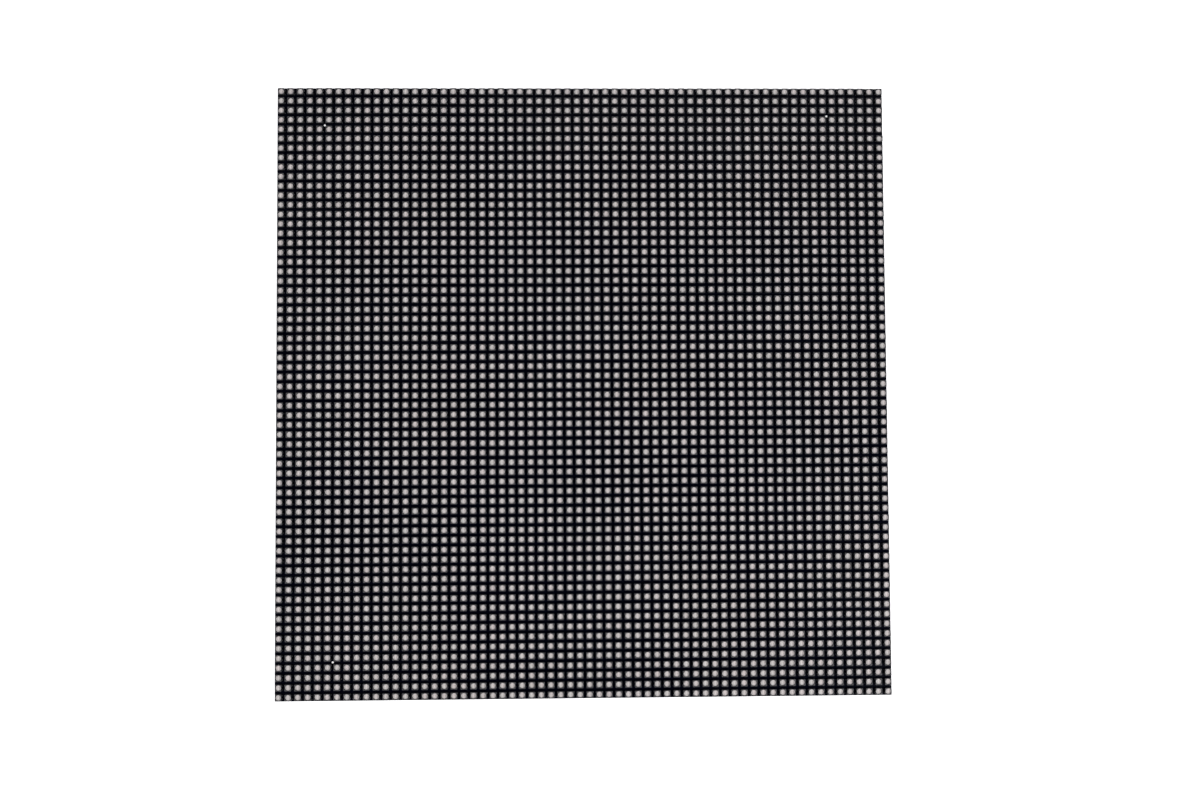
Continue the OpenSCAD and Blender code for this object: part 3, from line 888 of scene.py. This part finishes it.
# Finishes of the pieces that keep their shape
finishes = {
    "circuit_board": solderMask,
    # the fiducial marks glow faintly, a painted glint
    "fiducial_marks": makeMarkPaintedGlint(),
    "rear_frame": framePlastic,
    "mounting_inserts": makeThreaded("insertBrass", (0.62, 0.45, 0.20), (0.80, 0.62, 0.32), 0.28, 0.5 * mm),
    "board_nuts": makeThreaded("nutTin", (0.55, 0.55, 0.54), (0.72, 0.72, 0.70), 0.3, 0.45 * mm),
    "frame_screws": makeMetal("screwZinc", (0.48, 0.48, 0.50), (0.66, 0.66, 0.68), 0.3),
    "data_in_shell": makePlastic("headerPlastic", (0.016, 0.016, 0.018), (0.024, 0.024, 0.026), 0.42),
    "data_in_pins": makeMetal("pinGold", (0.72, 0.50, 0.18), (0.92, 0.70, 0.32), 0.22),
    "power_shell": makePlastic("powerPlastic", (0.66, 0.62, 0.52), (0.76, 0.73, 0.64), 0.4),
    "power_pins_set": makeMetal("pinTin", (0.66, 0.66, 0.65), (0.80, 0.80, 0.78), 0.2),
    "driver_chips_red": makePlastic("chipEpoxy", (0.020, 0.020, 0.022), (0.030, 0.030, 0.032), 0.5, 0.08),
    "capacitor_cans": makeCan(),
    "capacitor_bases": makePlastic("canBasePlastic", (0.014, 0.014, 0.014), (0.022, 0.022, 0.022), 0.5),
    "ceramic_capacitors": makePlastic("capacitorCeramic", (0.30, 0.20, 0.12), (0.42, 0.30, 0.19), 0.4, 0.1),
    "resistors": makePlastic("resistorGlaze", (0.012, 0.012, 0.014), (0.020, 0.020, 0.022), 0.3, 0.1),
}
sameFinish = {
    "data_out_shell": "data_in_shell",
    "data_out_pins": "data_in_pins",
    "driver_chips_green": "driver_chips_red",
    "driver_chips_blue": "driver_chips_red",
    "row_driver_chips": "driver_chips_red",
    "buffer_chips": "driver_chips_red",
    "resistor_networks": "resistors",
}


def finishNodes():
    for name, obj in nodes.items():
        if name in ledNodes:
            continue
        material = finishes[sameFinish.get(name, name)]
        obj.data.materials.clear()
        obj.data.materials.append(material)


finishNodes()
print("finishes given")


# Floor and light
studio = {
    "floorSize": 6.0,
    "floorColor": (0.86, 0.86, 0.86),
    "floorLift": 0.75,
    "sky": 0.5,
    "skyColor": (1.0, 1.0, 1.0),
    "highColor": (0.42, 0.56, 1.0),
    "overhead": 0.008,
    "overheadTilt": (-0.07, 0.10, 0.98),
    "overheadFade": (0.93, 0.968),  # cosines from overhead: from the sky's strength to the dim middle
    "highFade": (0.84, 0.93),  # from the sky's colour to the high one
    "lamps": [  # place in metres, size, power, colour
        ((-0.50, -0.12, 0.62), 0.5, 2.1, (1.0, 0.98, 0.985)),
        ((0.44, -0.28, 0.70), 0.38, 3.15, (1.0, 0.98, 0.985)),
        ((0.12, 0.46, 0.68), 0.5, 0.55, (1.0, 0.985, 0.98)),
    ],
}


def makeFloor():
    size = studio["floorSize"]
    mesh = bpy.data.meshes.new("floor")
    corners = [(-size, -size, 0), (size, -size, 0), (size, size, 0), (-size, size, 0)]
    mesh.from_pydata(corners, [], [(0, 1, 2, 3)])
    material = bpy.data.materials.new("floorPaper")
    material.use_nodes = True
    tree = material.node_tree
    tree.nodes.clear()
    path = addNode(tree, "ShaderNodeLightPath")
    seen = mathOf(tree, "MAXIMUM", path.outputs["Is Camera Ray"],
                  mathOf(tree, "MAXIMUM", path.outputs["Is Glossy Ray"], path.outputs["Is Transmission Ray"]))
    lift = mathOf(tree, "MULTIPLY", seen, studio["floorLift"])
    paper = addNode(tree, "ShaderNodeBsdfDiffuse", {"Color": (*studio["floorColor"], 1)})
    glow = addNode(tree, "ShaderNodeEmission", {"Strength": lift})
    both = addNode(tree, "ShaderNodeAddShader", {0: paper.outputs[0], 1: glow.outputs[0]})
    addNode(tree, "ShaderNodeOutputMaterial", {"Surface": both.outputs[0]})
    mesh.materials.append(material)
    floor = bpy.data.objects.new("floor", mesh)
    bpy.context.scene.collection.objects.link(floor)


# White all round, and dim straight overhead, as a studio is behind the camera
def makeWorld():
    world = bpy.data.worlds.new("studioRoom")
    world.use_nodes = True
    bpy.context.scene.world = world
    tree = world.node_tree
    tree.nodes.clear()
    path = addNode(tree, "ShaderNodeLightPath")
    way = addNode(tree, "ShaderNodeTexCoord").outputs["Generated"]
    tilt = Vector(studio["overheadTilt"]).normalized()
    up = addNode(tree, "ShaderNodeVectorMath", {0: way, 1: tilt}, operation="DOT_PRODUCT").outputs["Value"]
    start, end = studio["overheadFade"]
    room = addNode(tree, "ShaderNodeMapRange",
                   {"Value": up, "From Min": start, "From Max": end,
                    "To Min": studio["sky"], "To Max": studio["overhead"]}).outputs[0]
    strength = addNode(tree, "ShaderNodeMix", {0: path.outputs["Is Camera Ray"], 2: room, 3: 1.0})
    start, end = studio["highFade"]
    high = addNode(tree, "ShaderNodeMapRange", {"Value": up, "From Min": start, "From Max": end}).outputs[0]
    high = mathOf(tree, "MULTIPLY", high, mathOf(tree, "SUBTRACT", 1.0, path.outputs["Is Camera Ray"]))
    color = mixColors(tree, high, studio["skyColor"], studio["highColor"])
    background = addNode(tree, "ShaderNodeBackground", {"Color": color, "Strength": strength.outputs[0]})
    addNode(tree, "ShaderNodeOutputWorld", {"Surface": background.outputs[0]})


def makeLamps():
    for number, (place, size, power, color) in enumerate(studio["lamps"]):
        data = bpy.data.lights.new("lamp" + str(number), "AREA")
        data.size = size
        data.energy = power
        data.color = color
        lamp = bpy.data.objects.new(data.name, data)
        lamp.location = place
        lamp.rotation_mode = "QUATERNION"
        lamp.rotation_quaternion = (-Vector(place)).to_track_quat("-Z", "Y")
        bpy.context.scene.collection.objects.link(lamp)


makeFloor()
makeWorld()
makeLamps()
bpy.context.scene.view_settings.view_transform = "Standard"
print("floor, room and lamps made")
